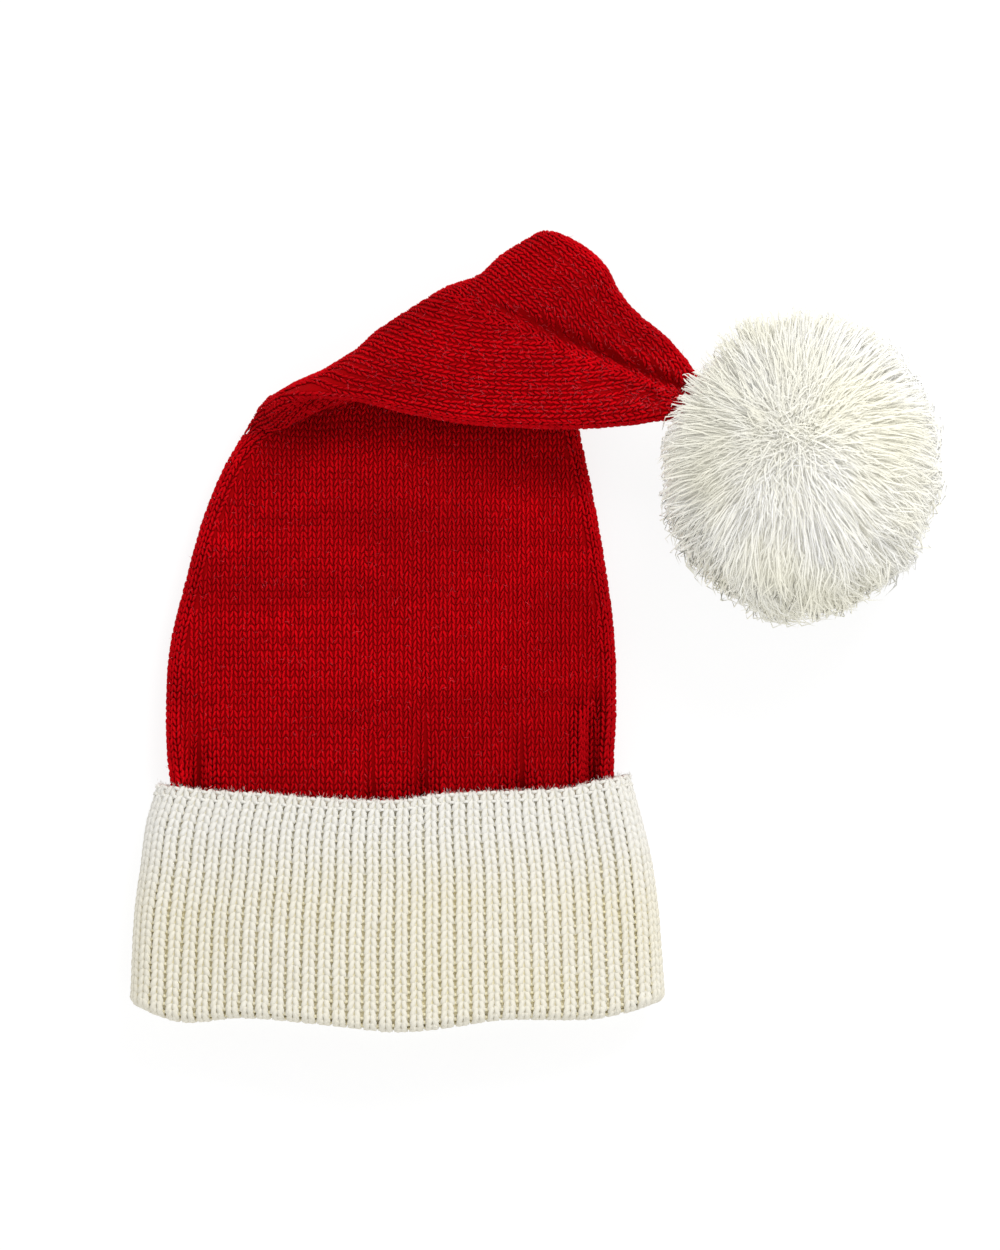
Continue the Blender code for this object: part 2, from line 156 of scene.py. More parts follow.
# Heights over the cloth's surface, of the stitches and of the ground's two faces, how much deeper
# the ground lies in folds, and how many columns a fold reaches
RED_STITCH_LIFT = -0.62
RIB_STITCH_LIFT = -1.0
RED_GROUND_DEPTHS = (-1.2, -2.5)
FOLD_SINK = 1.6
FOLD_REACH = 3

# Loose fibres, on the red cloth and along the cuff's edge, and their thickness
RED_HAIRS = 2300
EDGE_HAIRS = 2200
HAIR_WIDTH = 0.11
SEED = 7


def interpolate(keys, values, at):
    """Smooth curve through the values at uneven keys."""
    keys = np.asarray(keys, float)
    values = np.asarray(values, float)
    last = len(keys) - 1
    at = np.clip(at, keys[0], keys[-1])
    before = np.maximum(np.arange(last + 1) - 1, 0)
    after = np.minimum(np.arange(last + 1) + 1, last)
    slopes = (values[after] - values[before]) / (keys[after] - keys[before])
    low = np.clip(np.searchsorted(keys, at) - 1, 0, last - 1)
    span = keys[low + 1] - keys[low]
    f = (at - keys[low]) / span
    start = (1 + 2 * f) * (1 - f) ** 2 * values[low] + f * (1 - f) ** 2 * span * slopes[low]
    end = f * f * (3 - 2 * f) * values[low + 1] - f * f * (1 - f) * span * slopes[low + 1]
    return start + end


def smoothstep(value):
    value = np.clip(value, 0.0, 1.0)
    return value * value * (3.0 - 2.0 * value)


def unit(vectors):
    return vectors / np.maximum(np.linalg.norm(vectors, axis=-1, keepdims=True), 1e-12)


def dome(across):
    return (1.0 - np.abs(across) ** 2.5) ** 1.5


# A stretch of cloth: rings of points along it, their outward normals, the distance of each point
# along its ring, and how far across the tube it lies, from -1 at the left edge to 1
Cloth = namedtuple("Cloth", "points normals arcs across")


def cloth_from(points, across, facing):
    run = np.gradient(points, axis=0)
    around = np.gradient(points, axis=1)
    normals = unit(np.cross(around, run)) * facing
    steps = np.linalg.norm(np.diff(points, axis=1), axis=-1)
    arcs = np.concatenate((np.zeros((len(points), 1)), np.cumsum(steps, axis=1)), axis=1)
    return Cloth(points, normals, arcs, across)


# The crown's surface

RING_STEP = 1.0
ROLL_POINTS = 10
PANEL_POINTS = 110


def section_keys():
    rows = np.array([row[:5] for row in CROWN_SECTIONS])
    middles = np.stack((rows[:, 0] + rows[:, 2], rows[:, 1] + rows[:, 3], 2 * rows[:, 4]), axis=1) / 2
    runs = np.linalg.norm(np.diff(middles, axis=0), axis=1)
    return np.concatenate(((0.0,), np.cumsum(runs)))


def fine_sections():
    """Every column of the table at equal steps along the tube."""
    keys = section_keys()
    at = np.linspace(0.0, keys[-1], int(keys[-1] / RING_STEP) + 1)
    table = np.array(CROWN_SECTIONS, float)
    return Section(*(interpolate(keys, table[:, column], at) for column in range(table.shape[1])))


def section_frames(rows):
    left = np.stack((rows.left_x, rows.left_y, rows.edge_z), axis=1)
    right = np.stack((rows.right_x, rows.right_y, rows.edge_z), axis=1)
    across = unit(right - left)
    turn = np.radians(rows.turn)[:, None]
    outward = np.cross((0.0, 0.0, 1.0), across)
    back = outward * np.sin(turn) - np.array((0.0, 0.0, 1.0)) * np.cos(turn)
    return (left + right) / 2, np.linalg.norm(right - left, axis=1) / 2, across, back


def fold_depth(points, panel, turn):
    turned = smoothstep((turn - FOLDS_CHANGE[0]) / (FOLDS_CHANGE[1] - FOLDS_CHANGE[0]))
    shown = turned if panel == "back" else 1.0 - turned
    depth = np.zeros(points.shape[:-1])
    crease = np.zeros(points.shape[:-1])
    for fold in CROWN_FOLDS + CREASES:
        if fold.panel != panel:
            continue
        start = np.array((fold.x0, fold.y0))
        run = np.array((fold.x1, fold.y1)) - start
        place = points[..., :2] - start
        along = np.clip(place @ run / (run @ run), 0.0, 1.0)
        distance = np.linalg.norm(place - along[..., None] * run, axis=-1) / fold.width
        dent = (fold.depth0 + (fold.depth1 - fold.depth0) * along) * np.exp(-distance ** 2)
        if fold in CREASES:
            crease = np.where(dent < 0.0, crease + dent, np.maximum(crease, dent))
        else:
            depth = np.where(dent < 0.0, depth + dent, np.maximum(depth, dent))
    return (depth + crease) * shown[:, None]


def crown_half(rows, panel):
    """One panel of the tube with half of each rolled edge, from the left edge to the right."""
    middle, half_width, across, back = section_frames(rows)
    roll = rows.roll[:, None]
    height = (rows.front if panel == "front" else rows.back)[:, None]
    flat = half_width[:, None] - roll
    angles = np.linspace(math.pi, math.pi / 2, ROLL_POINTS, endpoint=False)[None]
    steps = np.linspace(-1.0, 1.0, PANEL_POINTS)[None]
    sideways = np.concatenate(
        (-flat + roll * np.cos(angles), flat * steps, flat - roll * np.cos(angles[:, ::-1])), axis=1)
    up = np.concatenate(
        (roll * np.sin(angles), roll + (height - roll) * dome(steps), roll * np.sin(angles[:, ::-1])), axis=1)
    side = 1.0 if panel == "front" else -1.0
    points = middle[:, None] + across[:, None] * sideways[..., None] - back[:, None] * (side * up)[..., None]
    inset = smoothstep((half_width[:, None] - np.abs(sideways)) / FOLD_FREE_EDGE)
    depth = fold_depth(points, panel, rows.turn) * inset
    points += back[:, None] * (side * depth)[..., None]
    points[..., 2] = np.maximum(points[..., 2], 0.0)
    return cloth_from(points, sideways / half_width[:, None], side)


def laid_flat(left, right):
    """The ruled band between the two edges, unrolled into the plane: both edges' flat places."""
    flat_left = [left[0, :2]]
    flat_right = [right[0, :2]]

    def beside(a, b, from_a, from_b):
        """The point at these distances from a and b, on the side that the band runs to."""
        base = np.linalg.norm(b - a)
        along = (from_a ** 2 - from_b ** 2 + base ** 2) / (2 * base)
        off = math.sqrt(max(from_a ** 2 - along ** 2, 0.0))
        run = (b - a) / base
        return a + run * along + np.array((-run[1], run[0])) * off

    for ring in range(1, len(left)):
        a = beside(flat_left[-1], flat_right[-1], np.linalg.norm(left[ring] - left[ring - 1]),
                   np.linalg.norm(left[ring] - right[ring - 1]))
        b = beside(a, flat_right[-1], np.linalg.norm(right[ring] - left[ring]),
                   np.linalg.norm(right[ring] - right[ring - 1]))
        flat_left.append(a)
        flat_right.append(b)
    return np.array(flat_left), np.array(flat_right)


def edge_slants(cloth):
    """Sine of the angle between each ring and the tube's left and right edges."""
    slants = []
    for edge, inner in ((0, 2), (-1, -3)):
        run = unit(np.gradient(cloth.points[:, edge], axis=0))
        chord = unit(cloth.points[:, -1] - cloth.points[:, 0])
        slant = np.sqrt(np.clip(1.0 - np.sum(run * chord, axis=1) ** 2, 0.2, 1.0))
        window = np.ones(15) / 15
        slants.append(np.convolve(np.pad(slant, 7, mode="edge"), window, "valid"))
    return slants


def distance_from(points, line):
    """Distance of each point of a ring from a line of close points."""
    return np.linalg.norm(points[:, None] - line[None], axis=-1).min(axis=1)


def chord(arc):
    """Straight distance from the tube's edge to the end of an arc that starts round the edge."""
    quarter = math.pi / 2 * EDGE_RADIUS
    around = np.minimum(arc, quarter)
    return 2 * EDGE_RADIUS * np.sin(around / (2 * EDGE_RADIUS)) + np.maximum(arc - quarter, 0.0)


def tail_arcs(cloth, last_body):
    """Arcs of the tail's wales. Each keeps its distance from the nearer of the tube's two edges."""
    left, right = cloth.points[:, 0], cloth.points[:, -1]
    start = right[last_body + 4]
    way = unit(right[last_body + 4] - right[last_body + 20])
    before = start + way * np.arange(120.0, 0.0, -1.0)[:, None]
    right = np.concatenate((before, right[last_body + 4:]))
    targets = chord((0.5 + np.arange(TAIL_WALES)) * RED_WALE)
    arcs = np.full((2 * TAIL_WALES, len(cloth.points)), np.nan)
    for ring in range(last_body, len(cloth.points)):
        along = cloth.arcs[ring]
        near = [distance_from(cloth.points[ring], line) for line in (left, right)]
        for side, order in ((0, slice(None)), (1, slice(None, None, -1))):
            reach = np.maximum.accumulate(near[side][order])
            at = np.interp(targets, reach, along[order], np.nan, np.nan)
            gap = np.interp(at, along, near[1 - side] - near[side])
            first = side * TAIL_WALES
            arcs[first:first + TAIL_WALES, ring] = np.where(gap > -TAIL_OVERLAP * RED_WALE, at, np.nan)
    return arcs


def wales_between(columns, widest):
    """Extra wales where neighbouring ones stand apart, on the steep sides of the folds."""
    gaps = np.diff(columns, axis=0)
    extra = np.clip(np.floor(gaps / RED_WALE + 1.0 - widest), 0, MOST_BETWEEN)
    found = []
    for count in range(1, MOST_BETWEEN + 1):
        for place in range(1, count + 1):
            found.append(np.where(extra == count, columns[:-1] + gaps * place / (count + 1), np.nan))
    return found


def wale_arcs(cloth, rows):
    """Where each wale crosses each ring, as a distance along the ring, or nan where it isn't there.

    A few wales run beside each edge. Between them the wales of the body run straight up the flat
    cloth, and those of the tail keep their distance from the nearer edge, so all of them run out
    where the tube narrows.
    """
    left, right = cloth.points[:, 0], cloth.points[:, -1]
    flat_left, flat_right = laid_flat(left, right)
    slant_left, slant_right = edge_slants(cloth)
    length = cloth.arcs[:, -1]
    last_body = int(np.searchsorted(rows.turn, 90.0))
    wales = []
    for place in range(EDGE_WALES):
        offset = (place + 0.5) * RED_WALE
        for band in (offset / slant_left, length - offset / slant_right):
            band[last_body:] = np.nan
            wales.append(band)
    edge_left = (EDGE_WALES + 0.1) * RED_WALE / slant_left
    edge_right = length - (EDGE_WALES + 0.1) * RED_WALE / slant_right
    share = (cloth.across + 1.0) / 2.0
    flat_x = flat_left[:, :1] + (flat_right[:, :1] - flat_left[:, :1]) * share
    widest = int(max(-flat_x.min(), flat_x.max()) / RED_WALE) + 1
    columns = np.full((2 * widest + 1, len(length)), np.nan)
    for column in range(-widest, widest + 1):
        for ring in range(last_body + 1):
            columns[column + widest, ring] = np.interp(
                column * RED_WALE, flat_x[ring], cloth.arcs[ring], np.nan, np.nan)
    columns[(columns < edge_left) | (columns > edge_right)] = np.nan
    first, last = np.fmin.reduce(columns), np.fmax.reduce(columns)
    beside_left, beside_right = wales[-2:]
    between = (wales_between(columns, WIDEST_GAP)
               + wales_between(np.stack((beside_left, first)), WIDEST_EDGE_GAP)
               + wales_between(np.stack((last, beside_right)), WIDEST_EDGE_GAP))
    return np.concatenate((wales, columns, *between, tail_arcs(cloth, last_body)))


# One stitch of a wale: its middle, and its sideways, upward and outward directions, and its ring
Stitches = namedtuple("Stitches", "middles sides runs normals rings")


def walk(points, normals, rings, course, start=0.0):
    """Stitches at equal steps along one wale."""
    lengths = np.concatenate(((0.0,), np.cumsum(np.linalg.norm(np.diff(points, axis=0), axis=1))))
    at = np.arange(start, lengths[-1], course)
    if len(at) == 0:
        return None

    def read(values):
        return np.stack([np.interp(at, lengths, values[:, axis]) for axis in range(3)], axis=1)

    runs = unit(read(np.gradient(points, axis=0)))
    outward = unit(read(normals))
    sides = unit(np.cross(runs, outward))
    outward = np.cross(sides, runs)
    return Stitches(read(points), sides, runs, outward, np.interp(at, lengths, rings))


def joined(groups):
    return Stitches(*(np.concatenate(parts) for parts in zip(*groups)))


def stitches_along(cloth, wales, course, shift=0.0):
    groups = []
    for wale, arcs in enumerate(wales):
        there = np.flatnonzero(~np.isnan(arcs))
        if len(there) < 4:
            continue
        breaks = np.flatnonzero(np.diff(there) > 1) + 1
        for rings in np.split(there, breaks):
            if len(rings) < 4:
                continue
            column = np.array([np.interp(arcs[ring], cloth.arcs[ring], np.arange(cloth.arcs.shape[1]))
                               for ring in rings])
            low = np.clip(column.astype(int), 0, cloth.arcs.shape[1] - 2)
            part = (column - low)[:, None]
            points = cloth.points[rings, low] * (1 - part) + cloth.points[rings, low + 1] * part
            normals = cloth.normals[rings, low] * (1 - part) + cloth.normals[rings, low + 1] * part
            if wale < 2 * EDGE_WALES:
                points = points + normals * EDGE_LIFT
            found = walk(points, normals, rings.astype(float), course, shift * (wale % 2))
            if found:
                groups.append(found)
    return joined(groups)


# Small closed forms that are repeated: points as sideways, along and outward, triangles, a map
# for the bake, and how light each point is, which is painted shade: light on top, dark below and at the ends
Template = namedtuple("Template", "points faces uv tone")


def tube_template(spine, widths, depths, sides):
    """A tapering closed tube. The spine's first and last points are its two ends."""
    spine = np.asarray(spine, float)
    runs = unit(np.gradient(spine, axis=0))
    sideways = unit(np.cross(runs, (0.0, 0.0, 1.0)))
    upward = np.cross(sideways, runs)
    points = [spine[0]]
    # Painted shade: the tube's two ends, tucked under other stitches, are darkest
    tone = [0.0]
    inner = len(spine) - 2
    for station in range(1, inner + 1):
        for side in range(sides):
            angle = 2 * math.pi * (side + 0.5) / sides - math.pi / 2
            points.append(spine[station] + sideways[station] * math.cos(angle) * widths[station - 1] / 2
                          + upward[station] * math.sin(angle) * depths[station - 1] / 2)
            # Painted shade: the upper side is light, the underside dark
            tone.append(1.0 if math.sin(angle) > 0 else 0.3)
    points.append(spine[-1])
    tone.append(0.0)
    end = len(points) - 1
    faces = []
    uv = []
    for side in range(sides):
        following = (side + 1) % sides
        u0, u1 = side / sides, (side + 1) / sides
        v = [station / (inner + 1) for station in range(inner + 2)]
        faces.append((0, 1 + side, 1 + following))
        uv.append(((u0 + u1) / 2, v[0], u0, v[1], u1, v[1]))
        for station in range(inner - 1):
            a = 1 + station * sides + side
            b = 1 + station * sides + following
            c, d = b + sides, a + sides
            faces.append((a, c, b))
            uv.append((u0, v[station + 1], u1, v[station + 2], u1, v[station + 1]))
            faces.append((a, d, c))
            uv.append((u0, v[station + 1], u0, v[station + 2], u1, v[station + 2]))
        a = 1 + (inner - 1) * sides + side
        b = 1 + (inner - 1) * sides + following
        faces.append((b, a, end))
        uv.append((u1, v[-2], u0, v[-2], (u0 + u1) / 2, v[-1]))
    return Template(np.array(points), np.array(faces), np.array(uv).reshape(-1, 3, 2), np.array(tone))


def beside_each_other(templates):
    """Several templates as one, with their maps side by side."""
    faces = []
    uv = []
    count = 0
    for index, template in enumerate(templates):
        faces.append(template.faces + count)
        uv.append((template.uv + (index, 0)) / (len(templates), 1))
        count += len(template.points)
    return Template(np.concatenate([t.points for t in templates]), np.concatenate(faces),
                    np.concatenate(uv), np.concatenate([t.tone for t in templates]))


def repeated(template, stitches, lift, rng, jitter):
    """The template at every stitch, with small differences. Returns points, triangles and tones,
    which mix the template's painted shade with a random difference between stitches.
    """
    count = len(stitches.middles)
    lean = rng.normal(0.0, 0.07 * jitter, count)[:, None]
    sides = stitches.sides * np.cos(lean) + stitches.runs * np.sin(lean)
    runs = stitches.runs * np.cos(lean) - stitches.sides * np.sin(lean)
    grow = 1.0 + rng.normal(0.0, 0.06 * jitter, (count, 3))
    frames = np.stack((sides * grow[:, :1], runs * grow[:, 1:2], stitches.normals * grow[:, 2:]), axis=1)
    middles = (stitches.middles + stitches.normals * (lift + rng.normal(0.0, 0.06 * jitter, (count, 1)))
               + stitches.sides * rng.normal(0.0, 0.10 * jitter, (count, 1))
               + stitches.runs * rng.normal(0.0, 0.10 * jitter, (count, 1)))
    points = middles[:, None] + np.einsum("vk,nkc->nvc", template.points, frames)
    faces = template.faces[None] + (np.arange(count) * len(template.points))[:, None, None]
    # Half the template's painted shade, half a random difference for each stitch
    tone = template.tone[None] * 0.5 + rng.uniform(0.0, 0.5, (count, 1))
    points += rng.normal(0.0, 0.05 * jitter, points.shape)
    return points.reshape(-1, 3), faces.reshape(-1, 3), tone.ravel()


def tiled_uv(template, count):
    """One small tile of the map for each copy of the template."""
    side = math.ceil(math.sqrt(count))
    index = np.arange(count)
    corner = np.stack((index % side, index // side), axis=1)[:, None, None]
    return ((corner + 0.04 + template.uv[None] * 0.92) / side).reshape(-1, 2)


def make_piece(name, points, faces, material, uv, tone=None, replaced=(), normals=None):
    """A mesh object from arrays in millimetres, riding on the hat."""
    mesh = bpy.data.meshes.new(name)
    mesh.from_pydata(points * MM, [], faces)
    mesh.uv_layers.new(name="OFBake")
    mesh.uv_layers["OFBake"].data.foreach_set("uv", np.asarray(uv, np.float32).ravel())
    # The tone: on stitches half painted shade and half random, on other pieces random or even
    values = np.ones(len(points)) if tone is None else tone
    mesh.attributes.new("tone", "FLOAT", "POINT").data.foreach_set("value", values.astype(np.float32))
    mesh.shade_smooth()
    if normals is not None:
        mesh.normals_split_custom_set_from_vertices(normals)
    mesh.materials.append(material)
    piece = bpy.data.objects.new(name, mesh)
    bpy.context.scene.collection.objects.link(piece)
    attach(piece, "root")
    for node in replaced:
        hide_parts(node)
    return piece


def grid_faces(rings, columns, closed):
    """Triangles of a grid of rings, and their corners' places on the map."""
    last = columns if closed else columns - 1
    ring, column = np.meshgrid(np.arange(rings - 1), np.arange(last), indexing="ij")
    ring, column = ring.ravel(), column.ravel()
    following = (column + 1) % columns
    a = ring * columns + column
    b = ring * columns + following
    c = b + columns
    d = a + columns
    faces = np.stack((a, b, c, a, c, d), axis=1).reshape(-1, 3)
    u0, u1 = column / last, (column + 1) / last
    v0, v1 = ring / (rings - 1), (ring + 1) / (rings - 1)
    uv = np.stack((u0, v0, u1, v0, u1, v1, u0, v0, u1, v1, u0, v1), axis=1).reshape(-1, 2)
    return faces, uv


def turned_over(faces, uv):
    """Triangles and their places on the map in the other winding."""
    return faces[:, ::-1], np.asarray(uv).reshape(-1, 3, 2)[:, ::-1].reshape(-1, 2)


def shell(outer, inner):
    """A closed wall between two grids of closed rings: points, triangles and map."""
    rings, columns = outer.shape[:2]
    count = rings * columns
    faces, uv = grid_faces(rings, columns, closed=True)
    back_faces, back_uv = turned_over(faces, uv)
    every_face = [faces, back_faces + count]
    every_uv = [uv * (0.49, 0.94), back_uv * (0.49, 0.94) + (0.5, 0.0)]
    for ring, low in ((0, 0.98), (rings - 1, 0.96)):
        rim, rim_uv = grid_faces(2, columns, closed=True)
        if ring == 0:
            rim, rim_uv = turned_over(rim, rim_uv)
        edge = ring * columns + np.arange(columns)
        every_face.append(np.concatenate((edge, edge + count))[rim])
        every_uv.append(rim_uv * (1.0, 0.01) + (0.0, low))
    points = np.concatenate((outer.reshape(-1, 3), inner.reshape(-1, 3)))
    return points, np.concatenate(every_face), np.concatenate(every_uv)


def make_stitches(name, template, stitches, chosen, lift, lowest, rng, jitter, material):
    """A piece with the template at every chosen stitch."""
    picked = Stitches(*(values[chosen] for values in stitches))
    points, faces, tone = repeated(template, picked, lift, rng, jitter)
    points[:, 2] = np.maximum(points[:, 2], lowest)
    make_piece(name, points, faces, material, tiled_uv(template, len(picked.middles)), tone)


# Materials

# Heights in metres between which the cuff's yarn turns whiter, and the painted light with which the pompom's
# yarn glows
WHITER_ABOVE = (-0.100, -0.072)
POMPOM_PAINTED_GLOW = 0.22


def new_material(name, roughness, specular=0.03):
    material = bpy.data.materials.new(name)
    material.use_nodes = True
    shader = material.node_tree.nodes["Principled BSDF"]
    shader.inputs["Roughness"].default_value = roughness
    shader.inputs["Specular IOR Level"].default_value = specular
    return material, material.node_tree, shader


def noise(tree, scale, detail=2.0, stretch=None):
    coordinates = tree.nodes.new("ShaderNodeTexCoord")
    texture = tree.nodes.new("ShaderNodeTexNoise")
    texture.inputs["Scale"].default_value = scale
    texture.inputs["Detail"].default_value = detail
    source = coordinates.outputs["Object"]
    if stretch:
        mapping = tree.nodes.new("ShaderNodeMapping")
        mapping.inputs["Scale"].default_value = stretch
        tree.links.new(source, mapping.inputs["Vector"])
        source = mapping.outputs["Vector"]
    tree.links.new(source, texture.inputs["Vector"])
    return texture.outputs["Fac"]


def remapped(tree, value, *limits):
    """The value moved from between the first two limits to between the last two."""
    node = tree.nodes.new("ShaderNodeMapRange")
    for name, limit in zip(("From Min", "From Max", "To Min", "To Max"), limits):
        node.inputs[name].default_value = limit
    tree.links.new(value, node.inputs["Value"])
    return node.outputs["Result"]


def mixed(tree, factor, first, second):
    node = tree.nodes.new("ShaderNodeMix")
    node.data_type = "RGBA"
    tree.links.new(factor, node.inputs["Factor"])
    for socket, colour in (("A", first), ("B", second)):
        place = [s for s in node.inputs if s.name == socket and s.type == "RGBA"][0]
        if isinstance(colour, tuple):
            place.default_value = (*colour, 1.0)
        else:
            tree.links.new(colour, place)
    return [s for s in node.outputs if s.type == "RGBA"][0]


def attribute(tree, name):
    node = tree.nodes.new("ShaderNodeAttribute")
    node.attribute_name = name
    return node.outputs["Fac"]


def fibre_bump(tree, shader, scale, strength, distance):
    bump = tree.nodes.new("ShaderNodeBump")
    bump.inputs["Strength"].default_value = strength
    bump.inputs["Distance"].default_value = distance
    tree.links.new(noise(tree, scale, 3.0), bump.inputs["Height"])
    tree.links.new(bump.outputs["Normal"], shader.inputs["Normal"])


def along_hat(tree, low, high):
    """From 0 at one height up the hat to 1 at the other, in metres."""
    coordinates = tree.nodes.new("ShaderNodeTexCoord")
    parts = tree.nodes.new("ShaderNodeSeparateXYZ")
    tree.links.new(coordinates.outputs["Object"], parts.inputs["Vector"])
    return remapped(tree, parts.outputs["Y"], low, high, 0.0, 1.0)


def yarn_material(name, dark, light, tint, fibre_scale, fade=None, bands=None, painted_glow=0.0):
    """Yarn whose colour runs from dark to light with the tone of the mesh, tinted in soft clouds. On
    stitches the tone is half painted shade. A fade is two heights up the hat and the tint that the upper
    end takes. Bands are courses that came out darker. painted_glow is painted light that lifts the shade."""
    material, tree, shader = new_material(name, 0.85)
    tone = attribute(tree, "tone")
    colour = mixed(tree, tone, dark, light)
    cloud = remapped(tree, noise(tree, 28.0), 0.38, 0.68, 0.0, 1.0)
    colour = mixed(tree, cloud, colour, tint)
    if bands:
        band = remapped(tree, noise(tree, 1.0, 2.0, (7.0, 70.0, 40.0)), 0.40, 0.66, 0.0, 0.5)
        colour = mixed(tree, band, colour, bands)
    if fade:
        share = remapped(tree, along_hat(tree, fade[0], fade[1]), 0.0, 1.0, 0.0, 0.8)
        colour = mixed(tree, share, colour, fade[2])
    fibre = remapped(tree, noise(tree, fibre_scale), 0.3, 0.7, 0.0, 0.35)
    colour = mixed(tree, fibre, colour, dark)
    tree.links.new(colour, shader.inputs["Base Color"])
    # Painted light: the yarn glows in its own colour, which lifts its shade
    tree.links.new(colour, shader.inputs["Emission Color"])
    shader.inputs["Emission Strength"].default_value = painted_glow
    fibre_bump(tree, shader, fibre_scale * 0.8, 0.5, 0.0003)
    return material


def floor_material():
    """A pale floor that glows a little, as a lit table does, so that shadows on it stay faint."""
    material, tree, shader = new_material("pale_floor", 0.9, 0.0)
    shader.inputs["Base Color"].default_value = (0.2, 0.2, 0.2, 1.0)
    shader.inputs["Emission Color"].default_value = (1.0, 1.0, 1.0, 1.0)
    shader.inputs["Emission Strength"].default_value = 0.84
    return material


# Pieces

def leg_template(sides, stations, spine, widths, depths):
    legs = []
    for hand in (-1.0, 1.0):
        keys = np.linspace(0.0, 1.0, len(spine))
        at = np.linspace(0.0, 1.0, stations + 2)
        path = np.stack([np.interp(at, keys, spine[:, axis]) for axis in range(3)], axis=1)
        path[:, 0] *= hand
        width = np.interp(at[1:-1], np.linspace(0, 1, len(widths)), widths)
        depth = np.interp(at[1:-1], np.linspace(0, 1, len(depths)), depths)
        legs.append(tube_template(path, width, depth, sides))
    return beside_each_other(legs)


def red_stitch(stations):
    """The two legs of a stockinette stitch, a V that opens towards the tip."""
    spine = np.array(((0.25, -2.05, -0.75), (0.55, -1.1, -0.12), (0.95, 0.0, 0.0),
                      (1.22, 1.05, -0.15), (1.35, 1.85, -0.8)))
    return leg_template(3, stations, spine, (0.7, 1.35, 1.6, 1.35, 0.7), (0.7, 1.1, 1.2, 1.1, 0.7))


def rib_stitch(sides, stations):
    spine = np.array(((0.35, -3.1, -0.9), (0.90, -1.6, -0.10), (1.42, 0.0, 0.0),
                      (1.80, 1.5, -0.20), (1.85, 2.7, -1.0)))
    return leg_template(sides, stations, spine, (1.4, 2.6, 3.1, 2.7, 1.4), (1.4, 2.2, 2.4, 2.1, 1.3))


def build_crown(rng, materials):
    rows = fine_sections()
    halves = {panel: crown_half(rows, panel) for panel in ("front", "back")}
    last_body = int(np.searchsorted(rows.turn, 90.0))
    build_crown_ground(halves, last_body, materials["shaded_ground"])
    for panel, cloth in halves.items():
        stitches = stitches_along(cloth, wale_arcs(cloth, rows), RED_COURSE)
        tail = stitches.rings > last_body
        for part, chosen in (("body", ~tail), ("tail", tail)):
            shown = (panel == "front") == (part == "body")
            make_stitches(f"crown_{part}_{panel}_stitches", red_stitch(3 if shown else 2), stitches, chosen,
                          RED_STITCH_LIFT, 0.05, rng, 1.0, materials["red"])
    return halves


def sunk_in_folds(cloth, last_body):
    """How much deeper the ground lies at the body's folds, where its coarse steps would cut across."""
    steps = np.gradient(cloth.arcs, axis=1)
    stretch = steps / np.median(steps, axis=1, keepdims=True)
    widest = stretch
    for shift in range(-FOLD_REACH, FOLD_REACH + 1):
        widest = np.maximum(widest, np.roll(stretch, shift, axis=1))
    sunk = FOLD_SINK * smoothstep((widest - 1.25) / 0.8)
    sunk[last_body:] = 0.0
    return sunk


def build_crown_ground(halves, last_body, material):
    """The cloth below the stitches, a closed wall to the gathered tip. Its darker colour is painted
    shade between the stitches and in the folds.
    """
    step_rings, step_columns = 4, 2
    rings = []
    for depth in RED_GROUND_DEPTHS:
        around = []
        for panel in ("front", "back"):
            cloth = halves[panel]
            sunk = sunk_in_folds(cloth, last_body)
            points = cloth.points + cloth.normals * (depth - sunk)[..., None]
            kept = (np.arange(points.shape[1]) % step_columns == 0) | (sunk.max(axis=0) > 0.5)
            if panel == "back":
                points = points[:, ::-1]
                kept = kept[::-1].copy()
            kept[0], kept[-1] = True, False
            around.append(points[::step_rings][:, kept])
        grid = np.concatenate(around, axis=1)
        grid[..., 2] = np.maximum(grid[..., 2], 0.1 - depth * 0.6)
        middle = grid[-1].mean(axis=0)
        forward = unit(middle - grid[-5].mean(axis=0))
        closing = [middle + forward * ahead + (grid[-1] - middle) * size for ahead, size in TIP_RINGS]
        rings.append(np.concatenate((grid, np.array(closing)), axis=0))
    points, faces, uv = shell(*rings)
    make_piece("crown_ground", points, faces, material, uv, replaced=("crown",))


def flattened_tube(half_width, front, back, roll, panel_steps, roll_steps):
    flat = half_width - roll
    up_angles = np.linspace(math.pi / 2, -math.pi / 2, roll_steps, endpoint=False)
    down_angles = np.linspace(-math.pi / 2, -3 * math.pi / 2, roll_steps, endpoint=False)
    steps = np.linspace(-1.0, 1.0, panel_steps, endpoint=False)
    across = np.concatenate((steps * flat, flat + roll * np.cos(up_angles), -steps * flat,
                             -flat + roll * np.cos(down_angles)))
    up = np.concatenate((roll + (front - roll) * dome(steps), roll * np.sin(up_angles),
                         -roll - (back - roll) * dome(steps), roll * np.sin(down_angles)))
    return np.stack((across, up), axis=1)


